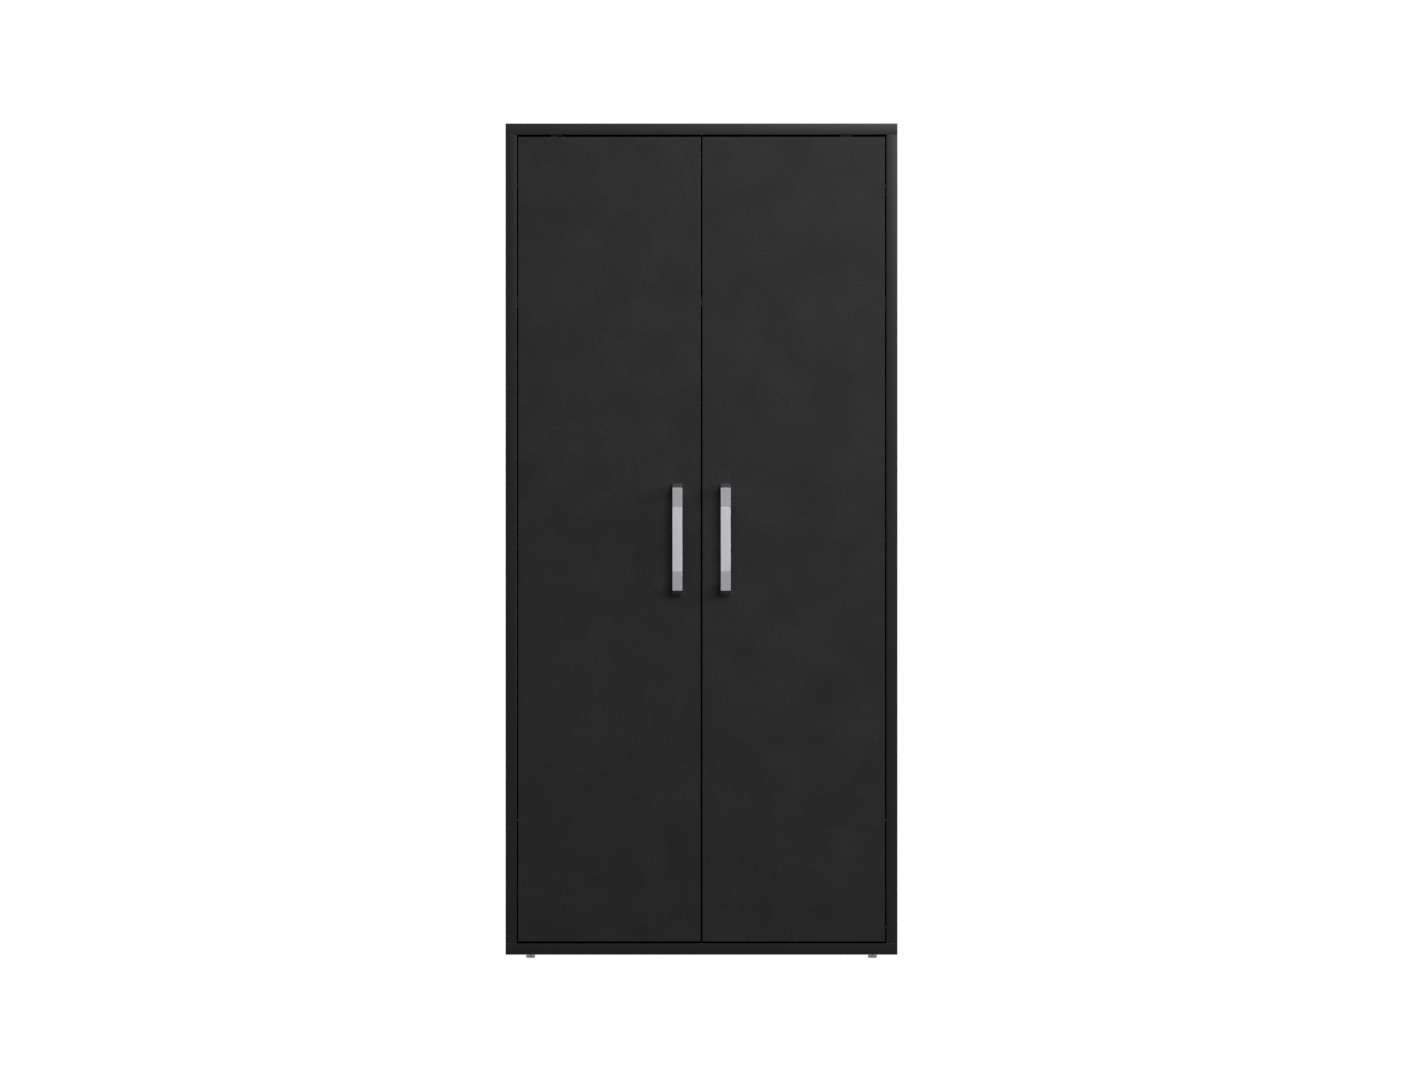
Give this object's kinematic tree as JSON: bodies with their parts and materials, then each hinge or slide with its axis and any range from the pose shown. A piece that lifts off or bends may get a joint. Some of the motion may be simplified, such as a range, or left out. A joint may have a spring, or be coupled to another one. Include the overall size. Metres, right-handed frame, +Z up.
{
  "type": "wardrobe with doors",
  "caption": "Tall wardrobe cabinet with inset doors on concealed cup hinges, bar handles, shelves and a hanging rail.",
  "frame": {"origin": "middle of the footprint with the handles included, on the floor", "axes": "+Z up, +X to the right when facing the doors, the doors face -Y"},
  "size_m": [0.876, 0.548, 1.865],
  "materials": {
    "board": "anthracite melamine-faced chipboard, fine matte texture",
    "hardboard": "thin dark lacquered hardboard",
    "black_plastic": "extruded plastic strip",
    "foot_steel": "polished nail-on glide",
    "nickel": "nickel-plated steel",
    "link_steel": "zinc-plated steel",
    "aluminium": "satin anodised aluminium",
    "satin_plated": "satin-plated die casting"
  },
  "bodies": {
    "root": {"top_panel": "board", "bottom_panel": "board", "left_side_panel": "board", "right_side_panel": "board", "hat_shelf": "board", "lower_shelf": "board", "back_panel_left": "hardboard", "back_panel_right": "hardboard", "back_joint_strip": "black_plastic", "foot_front_left": "foot_steel", "shelf_pin_front_left": "nickel", "foot_rear_left": "foot_steel", "shelf_pin_rear_left": "nickel", "rail_socket_left": "nickel", "wall_bracket_left": "nickel", "foot_front_right": "foot_steel", "shelf_pin_front_right": "nickel", "foot_rear_right": "foot_steel", "shelf_pin_rear_right": "nickel", "rail_socket_right": "nickel", "wall_bracket_right": "nickel", "hanging_rail": "nickel", "left_lower_hinge_arm": "nickel", "left_lower_hinge_plate": "nickel", "left_middle_hinge_arm": "nickel", "left_middle_hinge_plate": "nickel", "left_upper_hinge_arm": "nickel", "left_upper_hinge_plate": "nickel", "right_lower_hinge_arm": "nickel", "right_lower_hinge_plate": "nickel", "right_middle_hinge_arm": "nickel", "right_middle_hinge_plate": "nickel", "right_upper_hinge_arm": "nickel", "right_upper_hinge_plate": "nickel"},
    "left_outer_links": {"left_lower_hinge_outer_link": "link_steel", "left_middle_hinge_outer_link": "link_steel", "left_upper_hinge_outer_link": "link_steel"},
    "left_door": {"left_door": "board", "left_handle_grip": "aluminium", "left_handle_upper_end": "satin_plated", "left_handle_lower_end": "satin_plated", "left_lower_hinge_cup": "nickel", "left_middle_hinge_cup": "nickel", "left_upper_hinge_cup": "nickel"},
    "left_inner_links": {"left_lower_hinge_inner_link": "link_steel", "left_middle_hinge_inner_link": "link_steel", "left_upper_hinge_inner_link": "link_steel"},
    "right_outer_links": {"right_lower_hinge_outer_link": "link_steel", "right_middle_hinge_outer_link": "link_steel", "right_upper_hinge_outer_link": "link_steel"},
    "right_door": {"right_door": "board", "right_handle_grip": "aluminium", "right_handle_upper_end": "satin_plated", "right_handle_lower_end": "satin_plated", "right_lower_hinge_cup": "nickel", "right_middle_hinge_cup": "nickel", "right_upper_hinge_cup": "nickel"},
    "right_inner_links": {"right_lower_hinge_inner_link": "link_steel", "right_middle_hinge_inner_link": "link_steel", "right_upper_hinge_inner_link": "link_steel"}
  },
  "joints": [
    {"name": "left_outer_link_pivot", "type": "hinge", "parent": "root", "child": "left_outer_links", "pos_m": [-0.3787, -0.214, 0.93575], "axis": [0, 0, 1], "range_deg": [0, 45.7]},
    {"name": "left_door_pivot", "type": "hinge", "parent": "left_outer_links", "child": "left_door", "pos_m": [-0.4013, -0.23025, 0.93575], "axis": [0, 0, -1], "range_deg": [0, 140.6]},
    {"name": "left_inner_link_pivot", "type": "hinge", "parent": "root", "child": "left_inner_links", "pos_m": [-0.38045, -0.2299, 0.93575], "axis": [0, 0, 1], "range_deg": [0, 61.85]},
    {"name": "right_outer_link_pivot", "type": "hinge", "parent": "root", "child": "right_outer_links", "pos_m": [0.3787, -0.214, 0.93575], "axis": [0, 0, -1], "range_deg": [0, 45.7]},
    {"name": "right_door_pivot", "type": "hinge", "parent": "right_outer_links", "child": "right_door", "pos_m": [0.4013, -0.23025, 0.93575], "axis": [0, 0, 1], "range_deg": [0, 140.6]},
    {"name": "right_inner_link_pivot", "type": "hinge", "parent": "root", "child": "right_inner_links", "pos_m": [0.38045, -0.2299, 0.93575], "axis": [0, 0, -1], "range_deg": [0, 61.85]}
  ],
  "couplings": [
    {"joint": "left_inner_link_pivot", "follows": "left_door_pivot", "ratio": 0.43919},
    {"joint": "left_outer_link_pivot", "follows": "left_door_pivot", "ratio": 0.32432},
    {"joint": "right_inner_link_pivot", "follows": "right_door_pivot", "ratio": 0.43919},
    {"joint": "right_outer_link_pivot", "follows": "right_door_pivot", "ratio": 0.32432}
  ]
}
